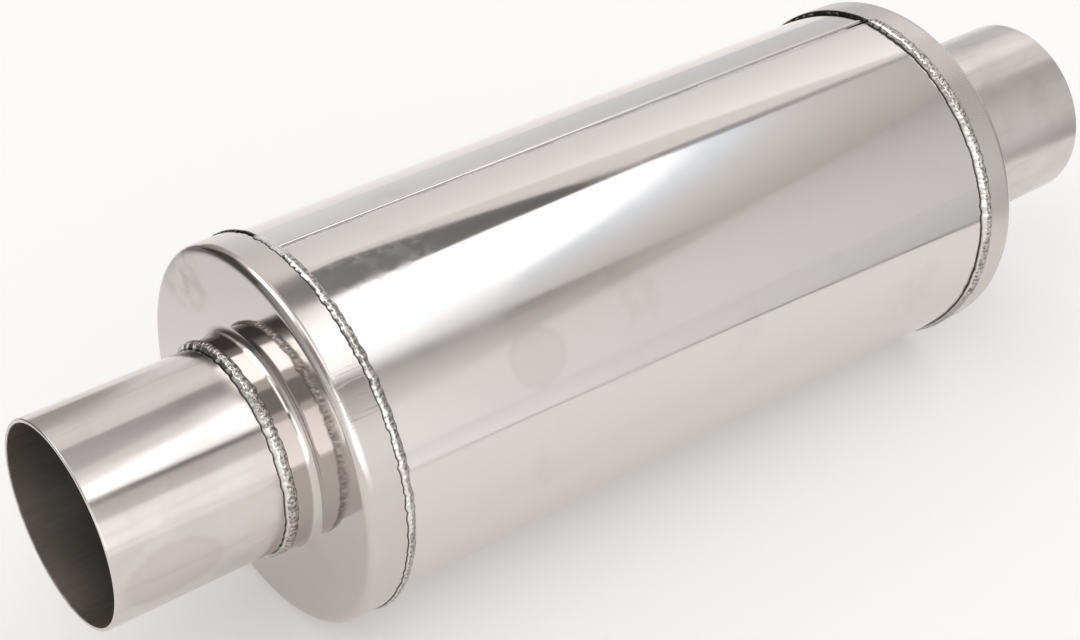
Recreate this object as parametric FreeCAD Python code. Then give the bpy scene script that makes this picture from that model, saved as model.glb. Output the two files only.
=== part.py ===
import FreeCAD, Part
import math
import os

# Straight-through rear muffler. The origin is the centre of the inlet pipe's mouth.
# +X runs along the pipes' axis from the inlet to the outlet, and +Z is up.
# Lengths are in millimetres and angles in degrees.

# Stub pipes
pipe_outer_radius = 38.0
pipe_wall = 1.5
inlet_stub_length = 76.0
outlet_stub_length = 79.4
stub_reach_into_can = 25.0

# Can, measured between the outer faces of the two end caps
can_length = 310.3
shell_outer_radius = 69.5
shell_wall = 1.2
shell_seam_width = 1.0
shell_seam_angle = -4.0

# Pressed end caps
cap_wall = 1.4
cap_edge_radius = 3.5
cap_skirt_depth = 15.5
collar_height = 10.6
collar_fillet_radius = 3.0

# Weld beads
neck_bead_leg = 3.0
neck_bead_crown = 0.7
neck_bead_penetration = 0.3
cap_bead_leg = 2.8
cap_bead_crown = 0.8

# Perforated core
core_wall = 1.2
core_setback = 6.0
core_seam_width = 1.0
core_seam_angle = 180.0
core_slot_length = 26.0
core_slot_width = 5.0
core_slots_per_ring = 8
core_ring_pitch = 38.0
core_plain_margin = 6.0
tack_leg = 2.5
tack_sweep = 14.0
tack_count = 4

# Steel wool wrapped round the core; glass fibre fills the rest of the can
wool_thickness = 4.0

# Each round bend is drawn as a count of short flats
outer_bend_flat_count = 2
inner_bend_flat_count = 1

# Clearances
collar_clearance = 0.1
skirt_clearance = 0.1
core_clearance = 0.1
shell_end_clearance = 0.3
fill_clearance = 0.3

# Radii and stations that follow from the sizes above
collar_inner_radius = pipe_outer_radius + collar_clearance
collar_outer_radius = collar_inner_radius + cap_wall
skirt_inner_radius = shell_outer_radius + skirt_clearance
skirt_outer_radius = skirt_inner_radius + cap_wall
shell_inner_radius = shell_outer_radius - shell_wall
core_inner_radius = pipe_outer_radius + core_clearance
core_outer_radius = core_inner_radius + core_wall
wool_inner_radius = core_outer_radius + fill_clearance
wool_outer_radius = wool_inner_radius + wool_thickness
core_end_depth = cap_wall + core_setback

AXIS = FreeCAD.Vector(1, 0, 0)
CENTRE = FreeCAD.Vector(0, 0, 0)
FULL_TURN = 360.0


class End:
    """One end of the can. Depth is measured from the cap's outer face into the can."""

    def __init__(self, face_x, inward, stub_length):
        self.face_x = face_x
        self.inward = inward
        self.stub_length = stub_length

    def x(self, depth):
        return self.face_x + self.inward * depth

    def point(self, depth, radius):
        return FreeCAD.Vector(self.x(depth), 0, radius)


INLET = End(inlet_stub_length, 1, inlet_stub_length)
OUTLET = End(inlet_stub_length + can_length, -1, outlet_stub_length)


def turned(corners, start=0.0, sweep=FULL_TURN):
    """Turns a closed half section about the axis, from an angle that grows from +Z to -Y."""
    face = Part.Face(Part.makePolygon(corners + corners[:1]))
    face.rotate(CENTRE, AXIS, start)
    solid = face.revolve(CENTRE, AXIS, sweep)
    if solid.Volume < 0:
        solid.reverse()
    return solid


def sleeve(start_x, end_x, inner_radius, outer_radius, start=0.0, sweep=FULL_TURN):
    corners = [
        FreeCAD.Vector(start_x, 0, inner_radius),
        FreeCAD.Vector(end_x, 0, inner_radius),
        FreeCAD.Vector(end_x, 0, outer_radius),
        FreeCAD.Vector(start_x, 0, outer_radius),
    ]
    return turned(corners, start, sweep)


def stub_pipe(end):
    """A plain tube that the core slips over, melted in a little where the neck bead takes hold."""
    inner_radius = pipe_outer_radius - pipe_wall
    corners = [
        end.point(-end.stub_length, inner_radius),
        end.point(-end.stub_length, pipe_outer_radius),
        end.point(-collar_height - neck_bead_leg, pipe_outer_radius),
        end.point(-collar_height, pipe_outer_radius - neck_bead_penetration),
        end.point(-collar_height, pipe_outer_radius),
        end.point(stub_reach_into_can, pipe_outer_radius),
        end.point(stub_reach_into_can, inner_radius),
    ]
    return turned(corners)


def bend(end, centre_depth, centre_radius, bend_radius, first_angle, last_angle, flat_count):
    """Points round a bend. Angle 0 points into the can and 90 points away from the axis."""
    points = []
    for step in range(flat_count + 1):
        angle = math.radians(first_angle + (last_angle - first_angle) * step / flat_count)
        depth = centre_depth + bend_radius * math.cos(angle)
        points.append(end.point(depth, centre_radius + bend_radius * math.sin(angle)))
    return points


def end_cap(end):
    """One sheet of even wall: neck collar, fillet, flat plate, rounded edge and skirt."""
    neck = (end, -collar_fillet_radius, collar_outer_radius + collar_fillet_radius)
    edge = (end, cap_edge_radius, skirt_outer_radius - cap_edge_radius)
    corners = [
        end.point(-collar_height, collar_inner_radius),
        end.point(-collar_height, collar_outer_radius),
        *bend(*neck, collar_fillet_radius, -90, 0, outer_bend_flat_count),
        *bend(*edge, cap_edge_radius, 180, 90, outer_bend_flat_count),
        end.point(cap_skirt_depth, skirt_outer_radius),
        end.point(cap_skirt_depth, skirt_inner_radius),
        *bend(*edge, cap_edge_radius - cap_wall, 90, 180, inner_bend_flat_count),
        *bend(*neck, collar_fillet_radius + cap_wall, 0, -90, inner_bend_flat_count),
    ]
    return turned(corners)


def lap_bead(end, lip_depth, under_leg, crown, under_radius, over_radius, penetration=0.0):
    """A fillet bead that fills the step at a lip and rolls a leg's length over both sheets.

    The leg is positive where the sheet under the lip carries on into the can.
    """
    corners = [
        end.point(lip_depth + under_leg, under_radius),
        end.point(lip_depth, under_radius - penetration),
        end.point(lip_depth, over_radius),
        end.point(lip_depth - under_leg, over_radius),
        end.point(lip_depth, over_radius + crown),
    ]
    return turned(corners)


def neck_weld(end):
    radii = (pipe_outer_radius, collar_outer_radius)
    return lap_bead(end, -collar_height, -neck_bead_leg, neck_bead_crown, *radii, neck_bead_penetration)


def cap_weld(end):
    radii = (shell_outer_radius, skirt_outer_radius)
    return lap_bead(end, cap_skirt_depth, cap_bead_leg, cap_bead_crown, *radii)


def seam_sweep(width, radius):
    return math.degrees(width / radius)


def shell_span():
    """The shell and its fill stop short of the bend inside each cap."""
    depth = cap_edge_radius + shell_end_clearance
    return INLET.x(depth), OUTLET.x(depth)


def rolled_sheet(span, inner_radius, outer_radius, seam_angle, seam_width):
    """A sheet rolled to a tube, open along its seam."""
    gap = seam_sweep(seam_width, outer_radius)
    return sleeve(*span, inner_radius, outer_radius, seam_angle + gap / 2, FULL_TURN - gap)


def seam_fill(span, inner_radius, outer_radius, seam_angle, seam_width):
    """The weld metal that closes a rolled sheet's seam, dressed flush."""
    gap = seam_sweep(seam_width, outer_radius)
    return sleeve(*span, inner_radius, outer_radius, seam_angle - gap / 2, gap)


def core_span():
    return INLET.x(core_end_depth), OUTLET.x(core_end_depth)


def core_slot(x, angle):
    """A radial cutter for one slot of the core."""
    corner = FreeCAD.Vector(x - core_slot_length / 2, -core_slot_width / 2, core_inner_radius / 2)
    cutter = Part.makeBox(core_slot_length, core_slot_width, core_outer_radius, corner)
    cutter.rotate(CENTRE, AXIS, angle)
    return cutter


def core_slots():
    """Staggered rings of slots between the stubs' inner ends, clear of the core's seam."""
    margin = stub_reach_into_can + core_plain_margin + core_slot_length / 2
    first, last = INLET.x(margin), OUTLET.x(margin)
    rings = int((last - first) / core_ring_pitch) + 1
    spread = (last - first - (rings - 1) * core_ring_pitch) / 2
    step = FULL_TURN / core_slots_per_ring
    cutters = []
    for ring in range(rings):
        x = first + spread + ring * core_ring_pitch
        staggered = ring % 2
        for slot in range(staggered, core_slots_per_ring):
            offset = slot if staggered else slot + 0.5
            cutters.append(core_slot(x, core_seam_angle + offset * step))
    return cutters


def slotted(sheet):
    return sheet.cut(Part.makeCompound(core_slots()))


def core_tacks():
    """Short fillet tacks that hold the core's inlet end to the stub; the outlet end slides."""
    toe = INLET.point(core_end_depth - tack_leg, pipe_outer_radius)
    root = INLET.point(core_end_depth, pipe_outer_radius)
    lip = INLET.point(core_end_depth, core_outer_radius)
    tacks = []
    for tack in range(tack_count):
        start = tack * FULL_TURN / tack_count - tack_sweep / 2
        tacks.append(turned([toe, root, lip], start, tack_sweep))
    return Part.makeCompound(tacks)


def steel_wool():
    return sleeve(*core_span(), wool_inner_radius, wool_outer_radius)


def glass_fibre():
    inner = wool_outer_radius + fill_clearance
    outer = shell_inner_radius - fill_clearance
    return sleeve(*shell_span(), inner, outer)


def at_both_ends(make):
    """The inlet's piece and the outlet's piece, in one node."""
    return Part.makeCompound([make(end) for end in (INLET, OUTLET)])


def muffler():
    shell_sheet = (shell_span(), shell_inner_radius, shell_outer_radius, shell_seam_angle, shell_seam_width)
    core_sheet = (core_span(), core_inner_radius, core_outer_radius, core_seam_angle, core_seam_width)
    return {
        "stub_pipes": at_both_ends(stub_pipe),
        "end_caps": at_both_ends(end_cap),
        "neck_welds": at_both_ends(neck_weld),
        "cap_welds": at_both_ends(cap_weld),
        "shell": rolled_sheet(*shell_sheet),
        "shell_seam_weld": seam_fill(*shell_sheet),
        "perforated_core": slotted(rolled_sheet(*core_sheet)),
        "core_seam_weld": seam_fill(*core_sheet),
        "core_tack_welds": core_tacks(),
        "steel_wool_wrap": steel_wool(),
        "glass_fibre_packing": glass_fibre(),
    }


def write_parts(nodes):
    os.makedirs("parts", exist_ok=True)
    for name, shape in nodes.items():
        shape.exportStep("parts/" + name + ".step")


write_parts(muffler())
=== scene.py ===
import math

import bpy
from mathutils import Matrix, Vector, noise

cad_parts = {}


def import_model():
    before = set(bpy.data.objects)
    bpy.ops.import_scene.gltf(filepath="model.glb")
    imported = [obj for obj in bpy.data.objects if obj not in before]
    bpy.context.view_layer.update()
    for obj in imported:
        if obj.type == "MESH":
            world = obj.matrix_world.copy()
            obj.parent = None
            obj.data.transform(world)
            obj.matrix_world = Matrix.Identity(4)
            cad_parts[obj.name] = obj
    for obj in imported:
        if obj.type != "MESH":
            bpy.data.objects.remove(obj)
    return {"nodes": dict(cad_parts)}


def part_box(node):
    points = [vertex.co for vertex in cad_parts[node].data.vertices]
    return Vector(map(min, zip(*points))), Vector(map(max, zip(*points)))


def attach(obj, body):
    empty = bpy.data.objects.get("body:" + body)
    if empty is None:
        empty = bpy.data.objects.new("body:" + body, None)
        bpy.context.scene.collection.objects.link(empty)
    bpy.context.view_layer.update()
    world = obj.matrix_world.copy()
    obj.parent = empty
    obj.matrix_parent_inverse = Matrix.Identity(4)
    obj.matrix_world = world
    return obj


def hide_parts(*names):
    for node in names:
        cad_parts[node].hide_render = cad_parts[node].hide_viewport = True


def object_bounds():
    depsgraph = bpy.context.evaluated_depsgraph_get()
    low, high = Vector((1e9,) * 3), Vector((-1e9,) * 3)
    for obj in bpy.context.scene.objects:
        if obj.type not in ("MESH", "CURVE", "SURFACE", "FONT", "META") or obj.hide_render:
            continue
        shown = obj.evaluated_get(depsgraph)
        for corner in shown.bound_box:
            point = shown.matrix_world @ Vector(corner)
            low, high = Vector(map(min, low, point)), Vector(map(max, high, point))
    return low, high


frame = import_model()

# Lengths are in metres. Angles are in degrees and grow from +Z to -Y round the muffler's axis.
cad_low, cad_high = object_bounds()
BODY = "root"
MM = 0.001

# Sizes of the sheets and bends
PIPE_WALL = 1.5 * MM
CAP_WALL = 1.4 * MM
SHELL_WALL = 1.2 * MM
STUB_REACH = 25.0 * MM
COLLAR_HEIGHT = 10.6 * MM
CAP_SKIRT = 15.5 * MM
COLLAR_CLEARANCE = 0.1 * MM
COLLAR_FILLET = 3.0 * MM
CAP_EDGE = 3.5 * MM
LIP_ROUNDING = 0.25 * MM
MOUTH_ROUNDING = 0.45 * MM
SEAM_WIDTH = 1.0 * MM
SEAM_ANGLE = -4.0

# Sizes read from the frame
PIPE_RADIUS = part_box("stub_pipes")[1].z
SKIRT_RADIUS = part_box("end_caps")[1].z
SHELL_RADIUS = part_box("shell")[1].z
NECK_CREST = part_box("neck_welds")[1].z
CAP_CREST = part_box("cap_welds")[1].z
FLOOR_LEVEL = -CAP_CREST
COLLAR_BORE = PIPE_RADIUS + COLLAR_CLEARANCE
COLLAR_RADIUS = COLLAR_BORE + CAP_WALL
SHELL_START, SHELL_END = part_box("shell")[0].x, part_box("shell")[1].x
CENTRE = (cad_low + cad_high) / 2

# Fineness of the turned meshes
FULL_TURN = 360.0
TURN_STEPS = 256
BEND_STEP = math.radians(7.5)
SUPPORT = 0.15 * MM

# The photograph's camera
SENSOR_WIDTH = 36.0
PHOTO_WIDTH = 1080
FOCAL_PIXELS = 2042.9
CAMERA_PLACE = Vector((-0.1945, -0.5035, 0.4339))
CAMERA_AZIMUTH = 38.15
CAMERA_ELEVATION = -34.29


class End:
    """One end of the muffler, with the stations that its pieces meet at. Inward is +1 or -1 along X."""

    def __init__(self, name, inward):
        self.name = name
        self.inward = inward
        side = 0 if inward > 0 else 1
        self.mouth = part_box("stub_pipes")[side].x
        self.collar_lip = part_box("end_caps")[side].x
        self.plate = self.collar_lip + inward * COLLAR_HEIGHT
        self.stub_end = self.plate + inward * STUB_REACH
        self.skirt_lip = self.plate + inward * CAP_SKIRT


INLET = End("inlet", 1)
OUTLET = End("outlet", -1)


# Mesh tools

def around(x, radius, angle):
    """A point at an angle in radians round the axis."""
    return Vector((x, -radius * math.sin(angle), radius * math.cos(angle)))


def rounded_corner(before, corner, after, rounding):
    """The points of a bend that replaces a corner, with a support point at each side."""
    into = (before - corner).normalized()
    out = (after - corner).normalized()
    half = into.angle(out) / 2
    reach = rounding / math.tan(half)
    start = corner + into * reach
    turn = math.pi - 2 * half
    steps = max(2, math.ceil(turn / BEND_STEP))
    centre = corner + (into + out).normalized() * (rounding / math.sin(half))
    spoke = start - centre
    swing = 1.0 if into.x * out.y - into.y * out.x > 0 else -1.0
    points = [start + into * SUPPORT]
    for step in range(steps + 1):
        angle = -swing * turn * step / steps
        cosine, sine = math.cos(angle), math.sin(angle)
        points.append(centre + Vector((spoke.x * cosine - spoke.y * sine, spoke.x * sine + spoke.y * cosine)))
    points.append(corner + out * (reach + SUPPORT))
    return points


def rounded_outline(corners):
    """A closed outline from (x, radius, rounding) corners."""
    outline = []
    for index, (x, radius, rounding) in enumerate(corners):
        before = Vector(corners[index - 1][:2])
        after = Vector(corners[(index + 1) % len(corners)][:2])
        outline += rounded_corner(before, Vector((x, radius)), after, rounding)
    return outline


def piece_from(name, vertices, faces, materials, face_materials=None):
    """A smooth shaded piece from its points and faces."""
    mesh = bpy.data.meshes.new(name)
    mesh.from_pydata(vertices, [], faces)
    mesh.validate()
    for material in materials:
        mesh.materials.append(material)
    if face_materials:
        mesh.polygons.foreach_set("material_index", face_materials)
    mesh.polygons.foreach_set("use_smooth", [True] * len(mesh.polygons))
    piece = bpy.data.objects.new(name, mesh)
    bpy.context.scene.collection.objects.link(piece)
    return piece


def turned(name, outline, materials, pick=None, start=0.0, sweep=FULL_TURN):
    """Turns a closed outline about the axis, with its faces outwards.

    Pick gives the index of the material between two neighbouring outline points.
    """
    whole = sweep >= FULL_TURN
    rings = TURN_STEPS if whole else TURN_STEPS + 1
    count = len(outline)
    area = sum(
        outline[i - 1][0] * outline[i][1] - outline[i][0] * outline[i - 1][1] for i in range(count)
    )
    if area < 0:
        outline = outline[::-1]
    vertices = []
    for ring in range(rings):
        angle = math.radians(start + sweep * ring / TURN_STEPS)
        vertices += [around(x, radius, angle) for x, radius in outline]
    faces, picks = [], []
    for ring in range(TURN_STEPS):
        near, far = ring * count, ((ring + 1) % rings) * count
        for i in range(count):
            j = (i + 1) % count
            faces.append((near + i, near + j, far + j, far + i))
            picks.append(pick(outline[i], outline[j]) if pick else 0)
    if not whole:
        faces.append(tuple(range(count))[::-1])
        faces.append(tuple(range(TURN_STEPS * count, TURN_STEPS * count + count)))
        picks += [0, 0]
    piece = piece_from(name, vertices, faces, materials, picks)
    if not whole:
        for face in piece.data.polygons[-2:]:
            face.use_smooth = False
    return piece


def give_points(piece, name, values):
    """Stores a number at each of the mesh's points, for the finish to read."""
    piece.data.attributes.new(name, "FLOAT", "POINT").data.foreach_set("value", values)


def settle(piece, slot_name, *nodes):
    """Rides on the body and stands for the nodes, which it hides. Its slot name is not used."""
    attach(piece, BODY)
    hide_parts(*nodes)
    return piece


# Material tools

# Places of the colour sockets on a Mix node
MIX_FACTOR, MIX_FIRST, MIX_SECOND, MIX_RESULT = 0, 6, 7, 2

# How fine and how strong the unevenness of a spot's edge is
SPOT_GRAIN = 160.0
SPOT_UNEVENNESS = 0.3


class Finish:
    """A material's nodes, with short calls for the ones that every finish uses."""

    def __init__(self, name, metallic=1.0):
        self.material = bpy.data.materials.new(name)
        self.material.use_nodes = True
        self.tree = self.material.node_tree
        self.shader = self.tree.nodes["Principled BSDF"]
        self.shader.inputs["Metallic"].default_value = metallic
        self.place = self.node("ShaderNodeTexCoord").outputs["Object"]

    def node(self, kind, **settings):
        made = self.tree.nodes.new(kind)
        for key, value in settings.items():
            setattr(made, key, value)
        return made

    def feed(self, socket, value):
        """Links a socket to another one, or sets it to a value."""
        if isinstance(value, bpy.types.NodeSocket):
            self.tree.links.new(value, socket)
        else:
            socket.default_value = value

    def result_of(self, operation, *values):
        made = self.node("ShaderNodeMath", operation=operation)
        for socket, value in zip(made.inputs, values):
            self.feed(socket, value)
        return made.outputs[0]

    def plus(self, first, second):
        return self.result_of("ADD", first, second)

    def times(self, first, second):
        return self.result_of("MULTIPLY", first, second)

    def stretched(self, x, y, z, vector=None):
        made = self.node("ShaderNodeVectorMath", operation="MULTIPLY")
        self.feed(made.inputs[0], vector or self.place)
        made.inputs[1].default_value = (x, y, z)
        return made.outputs[0]

    def axes(self):
        """X, y and z of the point."""
        parts = self.node("ShaderNodeSeparateXYZ")
        self.feed(parts.inputs[0], self.place)
        return parts.outputs

    def axis_distance(self):
        x, y, z = self.axes()
        squares = self.plus(self.times(y, y), self.times(z, z))
        return self.result_of("SQRT", squares)

    def unrolled(self, radius):
        """(x, length round a circle of that radius, distance from the axis)."""
        x, y, z = self.axes()
        angle = self.result_of("ARCTAN2", self.times(y, -1.0), z)
        joined = self.node("ShaderNodeCombineXYZ")
        self.feed(joined.inputs[0], x)
        self.feed(joined.inputs[1], self.times(angle, radius))
        self.feed(joined.inputs[2], self.axis_distance())
        return joined.outputs[0]

    def grain(self, vector, scale=1.0, detail=3.0, rough=0.55):
        made = self.node("ShaderNodeTexNoise")
        self.feed(made.inputs["Vector"], vector)
        made.inputs["Scale"].default_value = scale
        made.inputs["Detail"].default_value = detail
        made.inputs["Roughness"].default_value = rough
        return made.outputs["Fac"]

    def spread(self, value, low, high, to_low=0.0, to_high=1.0):
        """Eases from one result to the other while the value goes from low to high."""
        made = self.node("ShaderNodeMapRange", interpolation_type="SMOOTHSTEP")
        self.feed(made.inputs["Value"], value)
        made.inputs["From Min"].default_value = low
        made.inputs["From Max"].default_value = high
        made.inputs["To Min"].default_value = to_low
        made.inputs["To Max"].default_value = to_high
        return made.outputs[0]

    def blend(self, amount, first, second):
        made = self.node("ShaderNodeMix", data_type="RGBA")
        self.feed(made.inputs[MIX_FACTOR], amount)
        self.feed(made.inputs[MIX_FIRST], first)
        self.feed(made.inputs[MIX_SECOND], second)
        return made.outputs[MIX_RESULT]

    def spot(self, centre, size, edge):
        """1 inside an uneven oval round a point, easing to 0 over an edge that is a share of its size."""
        shifted = self.node("ShaderNodeVectorMath", operation="SUBTRACT")
        self.feed(shifted.inputs[0], self.place)
        shifted.inputs[1].default_value = centre
        scaled = self.stretched(*[1.0 / side for side in size], vector=shifted.outputs[0])
        length = self.node("ShaderNodeVectorMath", operation="LENGTH")
        self.feed(length.inputs[0], scaled)
        grain = self.grain(self.place, SPOT_GRAIN)
        uneven = self.result_of("MULTIPLY_ADD", grain, SPOT_UNEVENNESS, -SPOT_UNEVENNESS / 2)
        return self.spread(self.plus(length.outputs["Value"], uneven), 1.0 + edge, 1.0)

    def attribute(self, name):
        return self.node("ShaderNodeAttribute", attribute_name=name).outputs["Fac"]

    def relief(self, height, depth, under=None):
        """Bumps of that depth in metres, over those of the normal under them."""
        made = self.node("ShaderNodeBump")
        made.inputs["Strength"].default_value = 1.0
        made.inputs["Distance"].default_value = depth
        self.feed(made.inputs["Height"], height)
        if under is not None:
            self.feed(made.inputs["Normal"], under)
        return made.outputs[0]

    def finish(self, colour, roughness, normal=None):
        self.feed(self.shader.inputs["Base Color"], colour)
        self.feed(self.shader.inputs["Roughness"], roughness)
        if normal is not None:
            self.feed(self.shader.inputs["Normal"], normal)
        return self.material


# Finishes

STEEL = (0.70, 0.662, 0.645, 1.0)
STEEL_SHADE = (0.60, 0.56, 0.54, 1.0)
CAP_STEEL = (0.62, 0.578, 0.558, 1.0)
CAP_SHADE = (0.54, 0.495, 0.47, 1.0)
STAIN = (0.40, 0.34, 0.31, 1.0)
SATIN = (0.68, 0.64, 0.62, 1.0)
SATIN_SHADE = (0.56, 0.515, 0.49, 1.0)
# The bore's colours are darker than the tube's outside, as painted shade inside the tube.
BORE_WITH_PAINTED_SHADE = (0.36, 0.325, 0.30, 1.0)
BORE_SHADE = (0.23, 0.205, 0.185, 1.0)
WELD = (0.78, 0.755, 0.73, 1.0)
WELD_STRIP = (0.58, 0.55, 0.53, 1.0)
# The next colour is painted shade in the weld's pits and hollows.
WELD_SHADE = (0.22, 0.20, 0.19, 1.0)
# The next colour is painted shade: the weld's toe lines, and the black stretches that stand for the shadow at
# the skirts' lips.
WELD_PAINTED_SHADE = (0.045, 0.038, 0.033, 1.0)
SEAM_STEEL = (0.54, 0.505, 0.485, 1.0)
SEAM_LINE = (0.26, 0.19, 0.165, 1.0)
CORE = (0.42, 0.40, 0.38, 1.0)
CORE_SHADE = (0.22, 0.20, 0.185, 1.0)
WOOL = (0.34, 0.33, 0.31, 1.0)
WOOL_SHADE = (0.12, 0.11, 0.10, 1.0)
FIBRE = (0.78, 0.74, 0.62, 1.0)
FIBRE_SHADE = (0.55, 0.50, 0.38, 1.0)


# Marks in the finish: (x in millimetres, degrees round the axis, half sizes in millimetres)
FINGER_MARK = (153.0, 60.0, (10.2, 9.2, 9.2))
HAZY_PATCH = (114.0, 17.0, (18.0, 5.0, 5.0))
DULL_FRONT = (112.0, 40.0, (30.0, 14.0, 14.0))
PLATE_SMUDGE = (76.0, -44.0, (6.0, 13.0, 10.0))
PLATE_SMUDGE_RADIUS = 65.0 * MM
SKIRT_SCRATCHES = (84.0, 50.0, (9.0, 9.0, 9.0))
DRIED_STAIN = (21.0, 98.0, (16.0, 10.6, 10.6))
BROWN_TINT = (10.0, -12.0, (16.0, 6.0, 6.0))

# The outlet's skirt and stub are duller than the inlet's, and change over from one to the other here
DULL_START, DULL_END = CENTRE.x - 50.0 * MM, CENTRE.x + 50.0 * MM


def laid_on(radius, mark):
    """A mark's centre and half sizes in metres, on a surface of that radius."""
    x, angle, size = mark
    return around(x * MM, radius, math.radians(angle)), [side * MM for side in size]


def tide_mark(steel, centre, size):
    """A stain's share, with a rim that is darker than its middle."""
    whole = steel.spot(centre, size, 0.30)
    middle = steel.spot(centre, [side * 0.80 for side in size], 0.34)
    return steel.result_of("SUBTRACT", whole, steel.times(middle, 0.16))


def buffed(name, colour, shade, radius):
    """Mirror polish with faint buffing lines, slow waves in the sheet and handling smudges."""
    steel = Finish(name)
    flat = steel.unrolled(radius)
    patches = steel.grain(steel.place, 14.0, 4.0)
    lines = steel.grain(steel.stretched(40.0, 2600.0, 2600.0, flat), 1.0, 2.0)
    waves = steel.grain(steel.stretched(18.0, 45.0, 45.0, flat), 1.0, 1.0)
    haze = steel.spread(patches, 0.42, 0.72, 0.045, 0.10)
    roughness = steel.plus(haze, steel.times(lines, 0.05))
    smudges = steel.spread(steel.grain(steel.place, 33.0, 5.0), 0.56, 0.78)
    tint = steel.blend(steel.times(smudges, 0.6), colour, shade)
    bent = steel.relief(waves, 0.03 * MM)
    return steel, tint, roughness, steel.relief(lines, 0.0008 * MM, under=bent)


def polished_steel():
    """The shell: a round finger mark on its side, and hazy and dull patches near its inlet end."""
    steel, tint, roughness, normal = buffed("polished_steel", STEEL, STEEL_SHADE, SHELL_RADIUS)
    mark = tide_mark(steel, *laid_on(SHELL_RADIUS, FINGER_MARK))
    tint = steel.blend(steel.times(mark, 0.17), tint, STAIN)
    haze = steel.spot(*laid_on(SHELL_RADIUS, HAZY_PATCH), 0.9)
    clouds = steel.spread(steel.grain(steel.place, 190.0, 3.0), 0.42, 0.62, 0.0, 0.07)
    roughness = steel.plus(roughness, steel.times(haze, clouds))
    front = steel.spot(*laid_on(SHELL_RADIUS, DULL_FRONT), 0.9)
    roughness = steel.plus(roughness, steel.times(front, 0.10))
    roughness = steel.plus(roughness, steel.times(mark, 0.05))
    return steel.finish(tint, roughness, normal)


def pressed_steel():
    """The end caps: satin on the skirts, with a smudge on the plate and scratches on the near skirt."""
    steel, tint, roughness, normal = buffed("pressed_steel", CAP_STEEL, CAP_SHADE, SKIRT_RADIUS)
    radius = steel.axis_distance()
    smudge = steel.spot(*laid_on(PLATE_SMUDGE_RADIUS, PLATE_SMUDGE), 0.7)
    blotches = steel.spread(steel.grain(steel.place, 120.0, 3.0), 0.35, 0.65)
    tint = steel.blend(steel.times(steel.times(smudge, blotches), 0.5), tint, STAIN)
    place = steel.spot(*laid_on(SKIRT_RADIUS, SKIRT_SCRATCHES), 0.6)
    strokes = steel.grain(steel.stretched(55.0, 1500.0, 1500.0, steel.unrolled(SKIRT_RADIUS)), 1.0, 1.0)
    scratches = steel.times(steel.spread(strokes, 0.60, 0.68), place)
    tint = steel.blend(steel.times(scratches, 0.4), tint, STAIN)
    skirt = steel.spread(radius, SKIRT_RADIUS - 0.9 * MM, SKIRT_RADIUS - 0.2 * MM)
    satin = steel.spread(steel.axes()[0], DULL_START, DULL_END, 0.09, 0.20)
    roughness = steel.plus(roughness, steel.times(skirt, satin))
    return steel.finish(tint, roughness, steel.relief(scratches, 0.01 * MM, under=normal))


def satin_steel():
    """Drawn tube: lengthwise grain, cloudy patches, and a dried stain and a brown tint at the inlet."""
    steel = Finish("satin_steel")
    flat = steel.unrolled(PIPE_RADIUS)
    lines = steel.grain(steel.stretched(30.0, 1500.0, 1500.0, flat), 1.0, 3.0)
    streaks = steel.grain(steel.stretched(22.0, 160.0, 160.0, flat), 1.0, 3.0)
    clouds = steel.spread(steel.grain(steel.place, 42.0, 4.0), 0.40, 0.70)
    roughness = steel.plus(steel.spread(streaks, 0.35, 0.70, 0.09, 0.17), steel.times(lines, 0.05))
    tint = steel.blend(steel.times(clouds, 0.5), SATIN, SATIN_SHADE)
    tint = steel.blend(steel.spread(streaks, 0.50, 0.72, 0.0, 0.5), tint, SATIN_SHADE)
    stain = tide_mark(steel, *laid_on(PIPE_RADIUS, DRIED_STAIN))
    tint = steel.blend(steel.times(stain, 0.26), tint, STAIN)
    top = steel.spot(*laid_on(PIPE_RADIUS, BROWN_TINT), 0.9)
    tint = steel.blend(steel.times(top, 0.35), tint, STAIN)
    duller = steel.spread(steel.axes()[0], DULL_START, DULL_END, 0.0, 0.07)
    roughness = steel.plus(roughness, duller)
    bent = steel.relief(streaks, 0.02 * MM)
    return steel.finish(tint, roughness, steel.relief(lines, 0.002 * MM, under=bent))


def dull_bore_with_painted_shade():
    """The unpolished inside of the stubs, dull and brown-grey, and darker than the outside as painted shade
    inside the tube.
    """
    steel = Finish("dull_bore_with_painted_shade")
    flat = steel.unrolled(PIPE_RADIUS)
    streaks = steel.grain(steel.stretched(25.0, 240.0, 240.0, flat), 1.0, 4.0)
    colour = steel.blend(steel.spread(streaks, 0.35, 0.68), BORE_WITH_PAINTED_SHADE, BORE_SHADE)
    return steel.finish(colour, steel.spread(streaks, 0.3, 0.7, 0.38, 0.5), steel.relief(streaks, 0.03 * MM))


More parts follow.
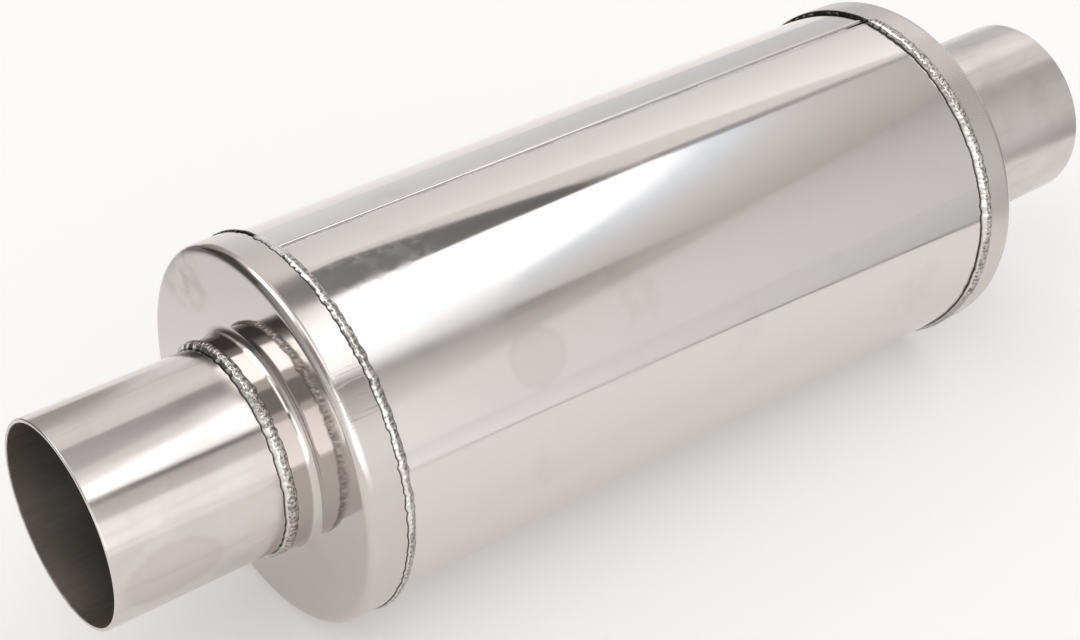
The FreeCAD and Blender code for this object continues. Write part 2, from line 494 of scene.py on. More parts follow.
def weld_metal():
    """A bright smooth ridge beside a rough grey strip, with painted shade in its pits, hollows and toe lines,
    and black stretches that are a painted shadow at the skirts' lips.
    """
    weld = Finish("weld_metal")
    rough = weld.attribute("rough")
    pits = weld.grain(weld.place, 1500.0, 3.0, 0.65)
    lumps = weld.grain(weld.place, 700.0, 3.0, 0.6)
    # Dark specks in the pits and darker hollows between the lumps are painted shade.
    pit_painted_shade = weld.result_of("MAXIMUM", weld.spread(pits, 0.49, 0.64), weld.spread(lumps, 0.54, 0.70))
    hollow_painted_shade = weld.spread(weld.attribute("low"), 0.35, 0.95)
    strip = weld.blend(weld.result_of("MAXIMUM", pit_painted_shade, hollow_painted_shade), WELD_STRIP, WELD_SHADE)
    ridge = weld.blend(weld.times(weld.spread(pits, 0.50, 0.64), 0.85), WELD, WELD_STRIP)
    colour = weld.blend(rough, ridge, strip)
    # Toe lines and lip stretches take the painted shade colour.
    colour = weld.blend(weld.attribute("joint_line_and_painted_shade"), colour, WELD_PAINTED_SHADE)
    grainy = weld.spread(pits, 0.3, 0.7, 0.14, 0.30)
    roughness = weld.plus(0.10, weld.times(rough, grainy))
    share = weld.spread(rough, 0.0, 1.0, 0.12, 1.0)
    bent = weld.relief(weld.times(lumps, share), 0.14 * MM)
    pitted = weld.relief(weld.times(pits, share), 0.06 * MM, under=bent)
    return weld.finish(colour, roughness, pitted)


def seam_metal():
    """The shell's seam, ground almost flush, with a thin broken brownish line."""
    seam = Finish("seam_metal")
    ticks = seam.grain(seam.stretched(900.0, 900.0, 900.0), 1.0, 2.0)
    shade = seam.times(seam.attribute("joint_line_and_painted_shade"), seam.spread(ticks, 0.25, 0.6))
    colour = seam.blend(shade, SEAM_STEEL, SEAM_LINE)
    return seam.finish(colour, seam.spread(ticks, 0.3, 0.7, 0.06, 0.12), seam.relief(ticks, 0.0012 * MM))


def core_steel():
    steel = Finish("core_steel")
    blotches = steel.grain(steel.place, 90.0, 4.0)
    colour = steel.blend(steel.spread(blotches, 0.4, 0.65), CORE, CORE_SHADE)
    roughness = steel.spread(blotches, 0.3, 0.7, 0.3, 0.45)
    return steel.finish(colour, roughness, steel.relief(blotches, 0.05 * MM))


def wool_strands():
    wool = Finish("steel_wool")
    flat = wool.unrolled(PIPE_RADIUS)
    strands = wool.grain(wool.stretched(500.0, 2200.0, 900.0, flat), 1.0, 5.0, 0.7)
    colour = wool.blend(wool.spread(strands, 0.4, 0.62), WOOL, WOOL_SHADE)
    return wool.finish(colour, wool.spread(strands, 0.3, 0.7, 0.4, 0.6), wool.relief(strands, 0.8 * MM))


def glass_fibre():
    fibre = Finish("glass_fibre", metallic=0.0)
    strands = fibre.grain(fibre.stretched(260.0, 1400.0, 1400.0), 1.0, 5.0, 0.7)
    colour = fibre.blend(fibre.spread(strands, 0.4, 0.65), FIBRE, FIBRE_SHADE)
    return fibre.finish(colour, fibre.spread(strands, 0.3, 0.7, 0.75, 0.95), fibre.relief(strands, 0.8 * MM))


# Pieces

def stub(end, satin, bore_with_painted_shade):
    """A tube with a rounded mouth, bright outside, and dull inside and darkened there with painted shade."""
    inner = PIPE_RADIUS - PIPE_WALL
    outline = rounded_outline([
        (end.mouth, inner, MOUTH_ROUNDING),
        (end.mouth, PIPE_RADIUS, MOUTH_ROUNDING),
        (end.stub_end, PIPE_RADIUS, LIP_ROUNDING),
        (end.stub_end, inner, LIP_ROUNDING),
    ])
    edge = inner + MOUTH_ROUNDING / 2

    def pick(first, second):
        return 1 if first[1] < edge and second[1] < edge else 0

    piece = turned(end.name + "_stub_pipe", outline, [satin, bore_with_painted_shade], pick)
    return settle(piece, "satin_steel", "stub_pipes")


def pressed_cap(end, steel):
    """One sheet of even wall: collar, fillet, plate, rounded edge and skirt."""
    inside = end.plate + end.inward * CAP_WALL
    outline = rounded_outline([
        (end.collar_lip, COLLAR_BORE, LIP_ROUNDING),
        (end.collar_lip, COLLAR_RADIUS, LIP_ROUNDING),
        (end.plate, COLLAR_RADIUS, COLLAR_FILLET),
        (end.plate, SKIRT_RADIUS, CAP_EDGE),
        (end.skirt_lip, SKIRT_RADIUS, LIP_ROUNDING),
        (end.skirt_lip, SKIRT_RADIUS - CAP_WALL, LIP_ROUNDING),
        (inside, SKIRT_RADIUS - CAP_WALL, CAP_EDGE - CAP_WALL),
        (inside, COLLAR_BORE, COLLAR_FILLET + CAP_WALL),
    ])
    piece = turned(end.name + "_pressed_cap", outline, [steel])
    return settle(piece, "polished_steel", "end_caps")


def rolled_shell(steel):
    """The sheet of the can, rolled round and open at its seam."""
    inner = SHELL_RADIUS - SHELL_WALL
    outline = rounded_outline([
        (SHELL_START, inner, LIP_ROUNDING),
        (SHELL_START, SHELL_RADIUS, LIP_ROUNDING),
        (SHELL_END, SHELL_RADIUS, LIP_ROUNDING),
        (SHELL_END, inner, LIP_ROUNDING),
    ])
    gap = math.degrees(SEAM_WIDTH / SHELL_RADIUS)
    piece = turned("rolled_shell", outline, [steel], start=SEAM_ANGLE + gap / 2, sweep=FULL_TURN - gap)
    return settle(piece, "polished_steel", "shell")


# Weld beads. A stretch is (first angle, last angle, kind); between stretches the bead is rippled.
# Leg and crown are shares of the whole bead's. Ripple, dark and ridge say how strong each is. Dark is painted
# shade: black at the lip and gap stretches for the shadow beside the skirts' lips, and a little on thin
# stretches.

KINDS = {
    "rippled": {"leg": 1.0, "crown": 1.0, "ripple": 1.0, "joint_line_and_painted_shade": 0.0, "ridge": 1.0},
    "smooth": {"leg": 1.1, "crown": 0.30, "ripple": 0.08, "joint_line_and_painted_shade": 0.0, "ridge": 1.0},
    "grainy": {"leg": 1.0, "crown": 0.9, "ripple": 1.0, "joint_line_and_painted_shade": 0.0, "ridge": 0.35},
    "lip": {"leg": 0.70, "crown": 0.80, "ripple": 0.15, "joint_line_and_painted_shade": 1.0, "ridge": 1.0},
    "gap": {"leg": 0.35, "crown": -0.80, "ripple": 0.15, "joint_line_and_painted_shade": 0.9, "ridge": 1.0},
    "thin": {"leg": 0.75, "crown": 0.15, "ripple": 0.5, "joint_line_and_painted_shade": 0.35, "ridge": 0.5},
}
STRETCH_BLEND = 3.0
BEAD_ROWS = 24
NECK_BEAD_STEPS = 1500
CAP_BEAD_STEPS = 2000
RIPPLE_PITCH = 2.1 * MM
RIPPLE_HEIGHT = 0.10 * MM
RIPPLE_BOW = 1.1 * MM
RIPPLE_JITTER = 2.2
LUMP_HEIGHT = 0.20 * MM
GRIT_HEIGHT = 0.17 * MM
TOE_WANDER = 0.65 * MM
BUMP_ROOM = 0.2 * MM

# The lengths over which the beads' noises change
JITTER_GRAIN = 6.0 * MM
TOE_GRAIN = 3.1 * MM
FAR_TOE_GRAIN = 2.3 * MM
RIDGE_GRAIN = 1.9 * MM
LUMP_GRAIN = 1.3 * MM
GRIT_GRAIN = 0.5 * MM

# The ridge's place and half width, as shares of the bead's width from the ridge's toe
RIDGE_PLACE = 0.27
RIDGE_WIDTH = 0.10
RIDGE_SWAY = 0.35
RIDGE_HEIGHT = 0.17 * MM

# The share of the lumps and grit that the ridge keeps, and how soon bumps start beside the toes
RIDGE_BUMPS = 0.28
BUMP_START = 1.4

# The dark lines at the two toes, painted shade in their crevices: their widths, as shares of the bead's, and
# the far one's darkness
TOE_SHARE = 0.11
FAR_TOE_SHARE = 0.07
FAR_TOE_PAINTED_SHADE = 0.75

# The least roughness of the strip beside the ridge, where the bead has few ripples
LEAST_ROUGH = 0.25

# Legs of the beads, on the sheet under the lip and over it
NECK_LEGS = (2.2 * MM, 2.3 * MM)
INLET_CAP_LEGS = (2.8 * MM, 1.7 * MM)
OUTLET_CAP_LEGS = (2.1 * MM, 2.7 * MM)


class Lap:
    """Where a bead lies: a lip, the direction along X of the sheet under it, and the two sheets' radii."""

    def __init__(self, lip, under, legs, radii, ridge_over):
        self.lip = lip
        self.under = under
        self.under_leg, self.over_leg = legs
        self.under_radius, self.over_radius, crest = radii
        self.crown = crest - self.over_radius - BUMP_ROOM
        self.ridge_over = ridge_over
        self.ripples = round(2 * math.pi * self.over_radius / RIPPLE_PITCH)


def smoothstep(value):
    value = min(1.0, max(0.0, value))
    return value * value * (3.0 - 2.0 * value)


def stretch_mix(stretches, angle):
    """The bead's leg, crown, ripple, darkness and ridge at an angle."""
    mixed = dict(KINDS["rippled"])
    for first, last, kind in stretches:
        middle = (first + last) / 2
        offset = abs((angle - middle + FULL_TURN / 2) % FULL_TURN - FULL_TURN / 2)
        share = smoothstep(((last - first) / 2 - offset) / STRETCH_BLEND + 0.5)
        for key, value in KINDS[kind].items():
            mixed[key] += (value - mixed[key]) * share
    return mixed


def toe_line(share, width):
    """1 at a toe, easing to 0 a little past the line's width. It masks the painted shade of the toe lines."""
    return smoothstep(1.3 - share / width)


class Section:
    """A bead's cut at one angle: its toes, its crest and its ridge, in its kind of stretch."""

    def __init__(self, lap, stretches, seed, radians):
        self.lap, self.seed, self.radians = lap, seed, radians
        self.ring = Vector((math.cos(radians), math.sin(radians), 0.0)) * lap.over_radius
        self.mix = mix = stretch_mix(stretches, math.degrees(radians))
        toe = self.swing(TOE_GRAIN, 0.0, 2.0) * TOE_WANDER
        over = lap.over_leg * min(1.0, mix["leg"]) + self.swing(FAR_TOE_GRAIN, 5.0, 9.0) * TOE_WANDER
        self.start_x = lap.lip + lap.under * (lap.under_leg * mix["leg"] + toe)
        self.end_x = lap.lip - lap.under * over * smoothstep(mix["leg"] * 1.6 - 0.3)
        self.end_radius = lap.over_radius + min(0.0, mix["crown"]) * CAP_WALL * 0.5
        self.rise = (lap.over_radius - lap.under_radius) / 2 + lap.crown * max(0.0, mix["crown"])
        self.ridge = RIDGE_PLACE * mix["ridge"] * (1.0 + RIDGE_SWAY * self.swing(RIDGE_GRAIN, 7.0, 1.0))

    def swing(self, grain, first, second):
        """Noise read on a circle, so that the bead closes without a step."""
        return noise.noise(self.ring / grain + Vector((self.seed, first, second)))

    def bumps(self, along, rough):
        """Ripples all over, and lumps and grit that are weaker on the ridge. Along runs across the bead."""
        lap = self.lap
        jitter = noise.noise(self.ring / JITTER_GRAIN + Vector((0.0, 0.0, self.seed))) * RIPPLE_JITTER
        bow = RIPPLE_BOW * (along / lap.under_leg) ** 2
        phase = lap.ripples * self.radians + 2.0 * math.pi * bow / RIPPLE_PITCH + jitter
        spot = self.ring + Vector((0.0, 0.0, along))
        lumps = LUMP_HEIGHT * noise.noise(spot / LUMP_GRAIN + Vector((0.0, self.seed, 0.0)))
        grit = GRIT_HEIGHT * noise.noise(spot / GRIT_GRAIN + Vector((self.seed, 0.0, 0.0)))
        share = RIDGE_BUMPS + (1.0 - RIDGE_BUMPS) * rough
        return RIPPLE_HEIGHT * 0.5 * math.cos(phase) + (lumps + grit) * share

    def surface(self, s):
        """The point at a share of the way from toe to toe, its painted shade, and how low and rough it is."""
        lap, mix = self.lap, self.mix
        arch = 4.0 * s * (1.0 - s)
        across = 1.0 - s if lap.ridge_over else s
        rough = smoothstep((across - self.ridge) / RIDGE_WIDTH - 0.5)
        x = self.start_x + (self.end_x - self.start_x) * s
        bumps = self.bumps(x - lap.lip, rough) * mix["ripple"] * min(1.0, arch * BUMP_START)
        hump = math.exp(-(((across - self.ridge) / RIDGE_WIDTH) ** 2))
        ridge = RIDGE_HEIGHT * hump * mix["ripple"] * mix["ridge"]
        slope = lap.under_radius + (self.end_radius - lap.under_radius) * s
        radius = slope + arch * self.rise + bumps + ridge
        # Painted shade along the toe lines and in the dark stretches.
        toe = max(toe_line(across, TOE_SHARE), FAR_TOE_PAINTED_SHADE * toe_line(1.0 - across, FAR_TOE_SHARE))
        joint_line_and_painted_shade, low = max(mix["joint_line_and_painted_shade"], toe), 0.5 - bumps / LUMP_HEIGHT
        return around(x, radius, self.radians), joint_line_and_painted_shade, low, rough * max(LEAST_ROUGH, mix["ripple"])

    def root(self):
        """Two hidden points that close the bead under its surface."""
        lap = self.lap
        behind = around(lap.lip - lap.under * 0.02 * MM, lap.over_radius - 0.3 * CAP_WALL, self.radians)
        return [behind, around(lap.lip, lap.under_radius - 0.05 * MM, self.radians)]


def bead(name, node, lap, stretches, seed, steps, material):
    """A lap weld's bead: a smooth bright ridge along one toe and a rough strip beside it."""
    vertices, joint_line_and_painted_shade, low, rough = [], [], [], []
    for step in range(steps):
        cut = Section(lap, stretches, seed, 2.0 * math.pi * step / steps)
        for row in range(BEAD_ROWS + 1):
            for values, value in zip((vertices, joint_line_and_painted_shade, low, rough), cut.surface(row / BEAD_ROWS)):
                values.append(value)
        vertices += cut.root()
        for values in (joint_line_and_painted_shade, low, rough):
            values += [1.0, 1.0]
    count = BEAD_ROWS + 3
    faces = []
    for step in range(steps):
        near, far = step * count, ((step + 1) % steps) * count
        for i in range(count):
            j = (i + 1) % count
            quad = (near + i, near + j, far + j, far + i)
            faces.append(quad if lap.under > 0 else quad[::-1])
    piece = piece_from(name, vertices, faces, [material])
    for attribute, values in (("joint_line_and_painted_shade", joint_line_and_painted_shade), ("low", low), ("rough", rough)):
        give_points(piece, attribute, values)
    return settle(piece, "weld_metal", node)


def neck_bead(end, stretches, seed, material):
    radii = (PIPE_RADIUS, COLLAR_RADIUS, NECK_CREST)
    lap = Lap(end.collar_lip, -end.inward, NECK_LEGS, radii, False)
    return bead(end.name + "_neck_bead", "neck_welds", lap, stretches, seed, NECK_BEAD_STEPS, material)


def cap_bead(end, legs, ridge_over, stretches, seed, material):
    radii = (SHELL_RADIUS, SKIRT_RADIUS, CAP_CREST)
    lap = Lap(end.skirt_lip, end.inward, legs, radii, ridge_over)
    return bead(end.name + "_cap_bead", "cap_welds", lap, stretches, seed, CAP_BEAD_STEPS, material)


SEAM_STEPS = 900
SEAM_ROWS = 6
SEAM_LAP = 0.15 * MM
SEAM_LEAST_LAP = 0.05 * MM
SEAM_CROWN = 0.001 * MM
SEAM_DRIFT = 0.25 * MM
SEAM_SIDE_DARKNESS = 0.12
SEAM_ROOT_SHARE = 0.4


def wander(length, seed, scale):
    """Noise along a line."""
    return noise.noise(Vector((length / scale, seed, 0.37)))


def seam_bead(material):
    """The shell's seam weld: a thin ragged line, almost flush with the sheet."""
    vertices, joint_line_and_painted_shade = [], []
    middle = math.radians(SEAM_ANGLE)
    for step in range(SEAM_STEPS + 1):
        x = SHELL_START + (SHELL_END - SHELL_START) * step / SEAM_STEPS
        sides = []
        for side, seed in ((-1, 3.0), (1, 8.0)):
            lap = SEAM_LAP * (0.6 + wander(x, seed, 1.7 * MM) + 0.5 * wander(x, seed, 0.6 * MM))
            sides.append(side * (SEAM_WIDTH / 2 + max(SEAM_LEAST_LAP, lap)))
        drift = SEAM_DRIFT * wander(x, 21.0, 14.0 * MM)
        fade = smoothstep(0.75 + 1.6 * wander(x, 33.0, 22.0 * MM))
        for row in range(SEAM_ROWS + 1):
            s = row / SEAM_ROWS
            across = sides[0] + (sides[1] - sides[0]) * s + drift
            arch = 4.0 * s * (1.0 - s)
            radius = SHELL_RADIUS + SEAM_CROWN * arch
            vertices.append(around(x, radius, middle + across / SHELL_RADIUS))
            joint_line_and_painted_shade.append(fade if row == SEAM_ROWS // 2 else SEAM_SIDE_DARKNESS * fade)
        for across in (sides[1], sides[0]):
            inner = SHELL_RADIUS - SHELL_WALL * 0.5
            vertices.append(around(x, inner, middle + (across * SEAM_ROOT_SHARE + drift) / SHELL_RADIUS))
        joint_line_and_painted_shade += [0.0, 0.0]
    count = SEAM_ROWS + 3
    faces = []
    for step in range(SEAM_STEPS):
        near, far = step * count, (step + 1) * count
        for i in range(count):
            j = (i + 1) % count
            faces.append((near + i, near + j, far + j, far + i))
    faces.append(tuple(range(count))[::-1])
    faces.append(tuple(range(SEAM_STEPS * count, SEAM_STEPS * count + count)))
    piece = piece_from("shell_seam_bead", vertices, faces, [material])
    piece.data.polygons.foreach_set("use_smooth", [False] * len(piece.data.polygons))
    give_points(piece, "joint_line_and_painted_shade", joint_line_and_painted_shade)
    return settle(piece, "weld_metal", "shell_seam_weld")


# Stage: a pale floor, a pale world and panels that only the steel and the light see

FLOOR_SIZE = 80.0
FLOOR_TONE = (0.93, 0.925, 0.92, 1.0)
FLOOR_GLOW = 0.17
CEILING_HEIGHT = 8.0
WALL_DISTANCE = 22.0
PANEL_GRID = 16
TABLE_EDGE = (Vector((0.180, -0.560, 0.0)), Vector((0.611, -0.162, 0.0)))
TABLE_EDGE_RUN = 4.0
TABLE_EDGE_WIDTH = 0.022

# Where the three sheets beyond the table meet, at its edge and far off
EDGE_LEFT, EDGE_RIGHT = (0.268, -0.508), (0.709, -0.101)
FAR_LEFT, FAR_RIGHT = (1.97, -19.9), (19.9, -3.47)


def floor():
    """White paper. Its own light is seen by the camera and by the steel, and lights nothing."""
    half = FLOOR_SIZE / 2
    corners = [(-half, -half), (half, -half), (half, half), (-half, half)]
    vertices = [Vector((CENTRE.x + x, y, FLOOR_LEVEL)) for x, y in corners]
    paper = Finish("floor_paper", metallic=0.0)
    paper.shader.inputs["Specular IOR Level"].default_value = 0.0
    paper.finish(FLOOR_TONE, 0.9)
    seen = paper.node("ShaderNodeLightPath").outputs
    rays = paper.result_of("MAXIMUM", seen["Is Camera Ray"], seen["Is Glossy Ray"])
    rays = paper.result_of("MAXIMUM", rays, seen["Is Transmission Ray"])
    paper.shader.inputs["Emission Color"].default_value = (1.0, 1.0, 1.0, 1.0)
    paper.feed(paper.shader.inputs["Emission Strength"], paper.times(rays, FLOOR_GLOW))
    piece_from("floor", vertices, [(0, 1, 2, 3)], [paper.material])


def direction(azimuth, elevation):
    """Azimuth grows from +Y to +X."""
    a, e = math.radians(azimuth), math.radians(elevation)
    return Vector((math.sin(a) * math.cos(e), math.cos(a) * math.cos(e), math.sin(e)))


def glow_material():
    material = bpy.data.materials.new("panel_glow")
    material.use_nodes = True
    tree = material.node_tree
    tree.nodes.clear()
    out = tree.nodes.new("ShaderNodeOutputMaterial")
    glow = tree.nodes.new("ShaderNodeEmission")
    tone = tree.nodes.new("ShaderNodeAttribute")
    tone.attribute_name = "tone"
    tree.links.new(tone.outputs["Color"], glow.inputs["Color"])
    tree.links.new(glow.outputs[0], out.inputs[0])
    return material


def graded(name, place, corners, tones, material, lights=True):
    """A sheet between four corners, with a tone at each. Place turns a corner into a point."""
    vertices, colours = [], []
    for i in range(PANEL_GRID + 1):
        for j in range(PANEL_GRID + 1):
            u, v = i / PANEL_GRID, j / PANEL_GRID
            shares = ((1 - u) * (1 - v), u * (1 - v), u * v, (1 - u) * v)
            first = sum(share * corner[0] for share, corner in zip(shares, corners))
            second = sum(share * corner[1] for share, corner in zip(shares, corners))
            vertices.append(place(first, second))
            colours += [sum(share * tone[k] for share, tone in zip(shares, tones)) for k in range(3)] + [1.0]
    faces = []
    for i in range(PANEL_GRID):
        for j in range(PANEL_GRID):
            a = i * (PANEL_GRID + 1) + j
            faces.append((a, a + 1, a + PANEL_GRID + 2, a + PANEL_GRID + 1))
    sheet = piece_from(name, vertices, faces, [material])
    sheet.data.attributes.new("tone", "FLOAT_COLOR", "POINT").data.foreach_set("color", colours)
    sheet.visible_camera = False
    sheet.visible_diffuse = lights
    sheet.visible_shadow = lights


def on_ceiling(x, y):
    """A point overhead, in shares of the ceiling's height."""
    return Vector((CENTRE.x + x * CEILING_HEIGHT, y * CEILING_HEIGHT, CEILING_HEIGHT))


def on_wall(azimuth, elevation):
    return CENTRE + direction(azimuth, elevation) * WALL_DISTANCE


def on_table(along, out):
    """A point on the floor, along the table's edge and out from it."""
    start, end = TABLE_EDGE
    run = (end - start).normalized()
    away = Vector((run.y, -run.x, 0.0))
    return start + run * along + away * out + Vector((0.0, 0.0, FLOOR_LEVEL + MM))


def on_table_flat(x, y):
    """A point on the floor, in metres from the inlet's mouth."""
    return Vector((x, y, FLOOR_LEVEL + MM))


def grey(level, warmth=0.0):
    return (level * (1.0 + warmth), level, level * (1.0 - warmth))


SOFTBOX_WHITE = grey(1.9)


def softbox_panels(glow):
    """The long softbox overhead and its fall from white through blue, pale and brown to shade."""
    white, blue, blue_far, pale = SOFTBOX_WHITE, grey(0.86, -0.07), grey(1.16, -0.10), grey(0.82, 0.01)
    brown, shade = grey(0.64, 0.03), grey(0.56, 0.04)
    graded("softbox", on_ceiling, [(0.19, -0.80), (0.505, -0.80), (0.72, 0.24), (0.48, 0.17)],
           [white] * 4, glow)
    graded("softbox_fringe", on_ceiling, [(0.505, -0.80), (0.57, -0.80), (0.77, 0.24), (0.72, 0.24)],
           [white, blue, blue_far, white], glow)
    graded("ceiling_pale", on_ceiling, [(0.57, -0.80), (0.69, -0.80), (0.83, 0.22), (0.77, 0.22)],
           [blue, pale, pale, blue_far], glow)
    graded("ceiling_fade", on_ceiling, [(0.69, -0.80), (0.86, -0.80), (0.95, 0.22), (0.83, 0.22)],
           [pale, brown, brown, pale], glow)
    graded("ceiling_shade", on_ceiling, [(0.86, -0.80), (1.02, -0.80), (1.02, 0.22), (0.95, 0.22)],
           [brown, shade, shade, brown], glow)


def ceiling_panels(glow):
    """The ceiling on the near side, the softbox's dark frame and the flap behind it."""
    graded("ceiling_near", on_ceiling, [(-0.35, -1.9), (1.02, -1.9), (1.02, -0.99), (-0.35, -0.99)],
           [grey(0.95, 0.01), grey(0.80, 0.02), grey(0.50, 0.04), grey(0.85, 0.01)], glow)
    graded("softbox_bar", on_ceiling, [(-0.35, -0.99), (0.60, -0.99), (0.60, -0.80), (-0.35, -0.80)],
           [grey(0.20), grey(0.16), grey(0.10), grey(0.20)], glow)
    graded("bar_end", on_ceiling, [(0.60, -1.12), (1.02, -0.99), (1.02, -0.80), (0.60, -0.80)],
           [grey(0.30), grey(0.64, 0.05), grey(0.66, 0.05), grey(0.18)], glow)
    graded("dark_flap", on_ceiling, [(0.40, 0.14), (0.72, 0.24), (0.56, 0.63), (0.36, 0.42)],
           [grey(0.30), grey(0.13), grey(0.22), grey(0.36)], glow)
    graded("flap_tail", on_ceiling, [(0.10, -0.55), (0.40, 0.14), (0.36, 0.42), (0.05, 0.30)],
           [grey(0.70), grey(0.46), grey(0.46), grey(0.70)], glow)
    graded("flap_rim", on_ceiling, [(0.72, 0.22), (1.05, 0.22), (1.05, 0.27), (0.72, 0.30)],
           [grey(0.25), grey(0.60), grey(0.70), grey(0.45)], glow)


def wall_panels(glow):
    """The walls near the camera and opposite it."""
    graded("near_wall", on_wall, [(100.0, -30.0), (152.0, -30.0), (152.0, 50.0), (100.0, 50.0)],
           [grey(0.30), grey(0.94), grey(1.00, 0.01), grey(0.34, 0.01)], glow)
    graded("near_wall_bright", on_wall, [(152.0, -30.0), (166.0, -30.0), (166.0, 50.0), (152.0, 50.0)],
           [grey(0.98), grey(1.40), grey(1.44), grey(1.00, 0.01)], glow)
    graded("far_wall", on_wall, [(21.0, -4.0), (62.0, -4.0), (66.0, 24.0), (21.0, 24.0)],
           [grey(0.95, -0.02), grey(0.48, -0.03), grey(0.62, -0.01), grey(0.86)], glow)
    graded("far_wall_top", on_wall, [(21.0, 24.0), (66.0, 24.0), (72.0, 44.0), (18.0, 50.0)],
           [grey(0.82), grey(0.98, 0.01), grey(1.28, 0.01), grey(0.82, 0.02)], glow)
    graded("back_fade", on_wall, [(-12.0, -3.0), (19.0, -3.0), (20.0, 33.0), (-12.0, 33.0)],
           [grey(0.08, 0.05), grey(0.46, 0.03), grey(0.60, 0.03), grey(0.50, 0.04)], glow)


def left_panels(glow):
    """What the plates and the bends reflect, on the inlet's side and behind. They light nothing."""
    graded("left_wall", on_wall, [(166.0, -4.0), (226.0, -4.0), (226.0, 42.0), (166.0, 42.0)],
           [grey(1.50), grey(2.50), grey(1.80, 0.02), grey(1.50, 0.02)], glow, lights=False)
    graded("left_grey", on_wall, [(226.0, -4.0), (262.0, -4.0), (262.0, 50.0), (226.0, 54.0)],
           [grey(1.90), grey(0.95, 0.01), grey(0.45, 0.02), grey(0.40, 0.02)], glow, lights=False)
    graded("left_dark", on_wall, [(262.0, -4.0), (310.0, -4.0), (310.0, 46.0), (262.0, 50.0)],
           [grey(0.95, 0.01), grey(0.12, 0.04), grey(0.40, 0.03), grey(0.45, 0.02)], glow, lights=False)
    graded("back_dark", on_wall, [(310.0, -4.0), (348.0, -4.0), (348.0, 27.0), (310.0, 27.0)],
           [grey(0.10, 0.04), grey(0.05, 0.04), grey(0.08, 0.04), grey(0.10, 0.04)], glow, lights=False)
    graded("back_dark_top", on_wall, [(310.0, 27.0), (348.0, 27.0), (348.0, 44.0), (310.0, 44.0)],
           [grey(0.10, 0.04), grey(0.08, 0.04), grey(0.80, 0.02), grey(0.50, 0.03)], glow, lights=False)
    graded("left_softbox", on_ceiling, [(-0.62, 0.08), (-0.08, 0.08), (-0.08, 0.98), (-0.62, 0.98)],
           [grey(2.70)] * 4, glow, lights=False)
    graded("left_ceiling_dark", on_ceiling, [(-1.30, -0.75), (-0.34, -0.66), (-0.34, -0.14), (-1.30, -0.05)],
           [grey(0.35, 0.03)] * 4, glow, lights=False)
    graded("softbox_left", on_ceiling, [(-0.26, -0.78), (0.10, -0.78), (0.10, 0.02), (-0.26, 0.02)],
           [grey(1.40), SOFTBOX_WHITE, SOFTBOX_WHITE, grey(1.40)], glow, lights=False)


def table_panels(glow):
    """Glowing sheets on the floor that only the steel sees and that light nothing, a painted reflection: the
    floor behind the object dimming into shade, the table's edge in front and the floor beyond it.
    """
    # A painted reflection of the floor behind, dimming into shade away from the object.
    graded("table_back_painted_reflection", on_table_flat, [(-0.45, 0.14), (0.06, 0.14), (0.18, 0.70), (-0.60, 0.70)],
           [grey(0.42, 0.02), grey(1.05), grey(0.30, 0.03), grey(0.10, 0.03)], glow, lights=False)
    graded("beyond_back", on_table_flat, [(-0.60, 0.70), (0.18, 0.70), (1.5, 20.0), (-20.0, 20.0)],
           [grey(0.10, 0.03), grey(0.30, 0.03), grey(0.05, 0.03), grey(0.06, 0.03)], glow, lights=False)
    graded("beyond_left", on_table_flat, [(-0.45, 0.14), (-0.60, 0.70), (-20.0, 20.0), (-20.0, 0.14)],
           [grey(0.40, 0.02), grey(0.12, 0.03), grey(0.06, 0.03), grey(0.60, 0.02)], glow, lights=False)
    run, width = TABLE_EDGE_RUN, TABLE_EDGE_WIDTH
    graded("table_edge", on_table, [(-run, 0.0), (run, 0.0), (run, width), (-run, width)],
           [grey(0.35)] * 4, glow, lights=False)
    graded("beyond_table", on_table_flat, [EDGE_LEFT, EDGE_RIGHT, FAR_RIGHT, FAR_LEFT],
           [grey(1.20), grey(0.30), grey(0.30), grey(1.20)], glow, lights=False)
    graded("beyond_table_left", on_table_flat, [(-2.744, -3.290), EDGE_LEFT, FAR_LEFT, (-20.0, -20.0)],
           [grey(1.10), grey(1.15), grey(1.15), grey(1.10)], glow, lights=False)
    graded("beyond_table_right", on_table_flat, [EDGE_RIGHT, (3.134, 2.138), (20.0, 10.0), FAR_RIGHT],
           [grey(0.34), grey(0.40), grey(0.40), grey(0.34)], glow, lights=False)


def panels():
    """The studio overhead and round about, as the steel in the photograph reflects it."""
    glow = glow_material()
    for hang in (softbox_panels, ceiling_panels, wall_panels, left_panels, table_panels):
        hang(glow)


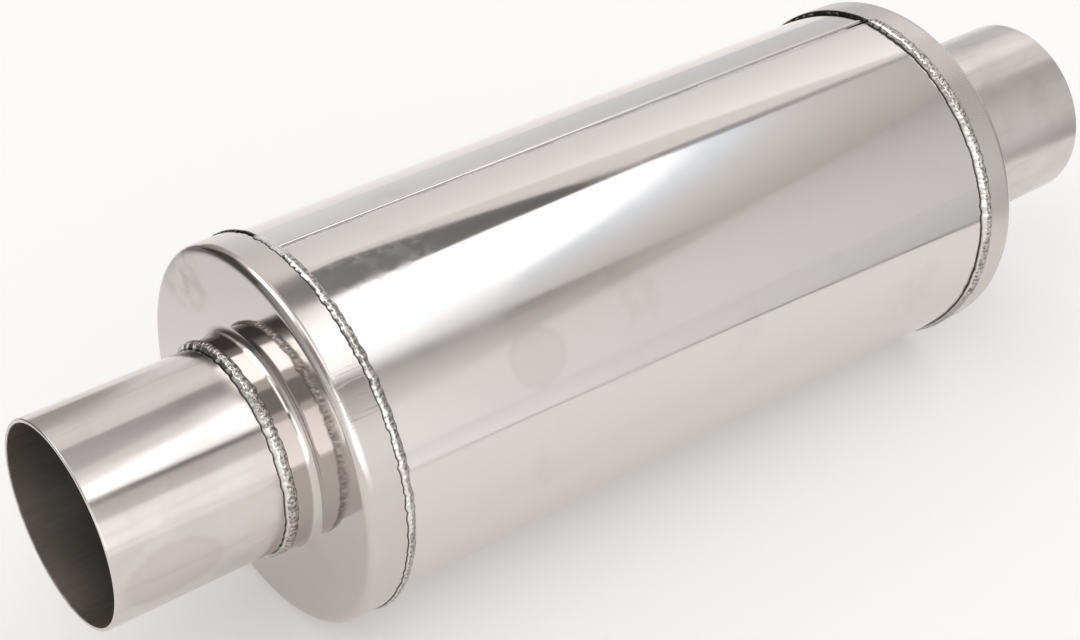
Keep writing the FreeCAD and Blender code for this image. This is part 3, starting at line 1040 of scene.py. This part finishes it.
def world():
    """Pale grey at the horizon and a little warmer above."""
    made = bpy.data.worlds.new("world")
    bpy.context.scene.world = made
    made.use_nodes = True
    tree = made.node_tree
    background = tree.nodes["Background"]
    place = tree.nodes.new("ShaderNodeTexCoord")
    parts = tree.nodes.new("ShaderNodeSeparateXYZ")
    ramp = tree.nodes.new("ShaderNodeValToRGB")
    tree.links.new(place.outputs["Generated"], parts.inputs[0])
    tree.links.new(parts.outputs["Z"], ramp.inputs["Fac"])
    tree.links.new(ramp.outputs["Color"], background.inputs["Color"])
    ramp.color_ramp.elements[0].position = 0.0
    ramp.color_ramp.elements[0].color = (0.88, 0.88, 0.90, 1.0)
    ramp.color_ramp.elements[1].position = 0.62
    ramp.color_ramp.elements[1].color = (0.92, 0.89, 0.87, 1.0)
    background.inputs["Strength"].default_value = 1.0


def camera():
    data = bpy.data.cameras.new("camera")
    data.sensor_width = SENSOR_WIDTH
    data.lens = FOCAL_PIXELS / PHOTO_WIDTH * SENSOR_WIDTH
    data.clip_start, data.clip_end = 0.01, 200.0
    made = bpy.data.objects.new("camera", data)
    bpy.context.scene.collection.objects.link(made)
    made.location = CAMERA_PLACE
    made.rotation_mode = "QUATERNION"
    made.rotation_quaternion = direction(CAMERA_AZIMUTH, CAMERA_ELEVATION).to_track_quat("-Z", "Y")
    bpy.context.scene.camera = made


def dress_nodes(finishes):
    """Gives the CAD nodes that no piece replaces their procedural finish."""
    for name, material in finishes.items():
        node = frame["nodes"][name]
        if not node.data.materials:
            node.data.materials.append(material)
        for index in range(len(node.material_slots)):
            node.material_slots[index].material = material


def build():
    polished = polished_steel()
    pressed = pressed_steel()
    satin = satin_steel()
    bore_with_painted_shade = dull_bore_with_painted_shade()
    weld = weld_metal()
    for end in (INLET, OUTLET):
        stub(end, satin, bore_with_painted_shade)
        pressed_cap(end, pressed)
    rolled_shell(polished)
    neck_bead(INLET, [(84.0, 124.0, "grainy"), (124.0, 146.0, "thin")], 11.0, weld)
    neck_bead(OUTLET, [], 23.0, weld)
    # The lip and gap stretches are painted shadow beside the skirts' lips.
    inlet_stretches = [(-70.0, -12.0, "lip"), (-12.0, 2.0, "smooth"), (92.0, 140.0, "grainy")]
    cap_bead(INLET, INLET_CAP_LEGS, True, inlet_stretches, 37.0, weld)
    outlet_stretches = [(-60.0, -1.0, "gap"), (88.0, 112.0, "grainy"), (112.0, 150.0, "thin")]
    cap_bead(OUTLET, OUTLET_CAP_LEGS, False, outlet_stretches, 53.0, weld)
    seam_bead(seam_metal())
    core = core_steel()
    dress_nodes({
        "perforated_core": core,
        "core_seam_weld": core,
        "core_tack_welds": core,
        "steel_wool_wrap": wool_strands(),
        "glass_fibre_packing": glass_fibre(),
    })


camera()
world()
floor()
panels()
build()
bpy.context.scene.view_settings.view_transform = "Standard"
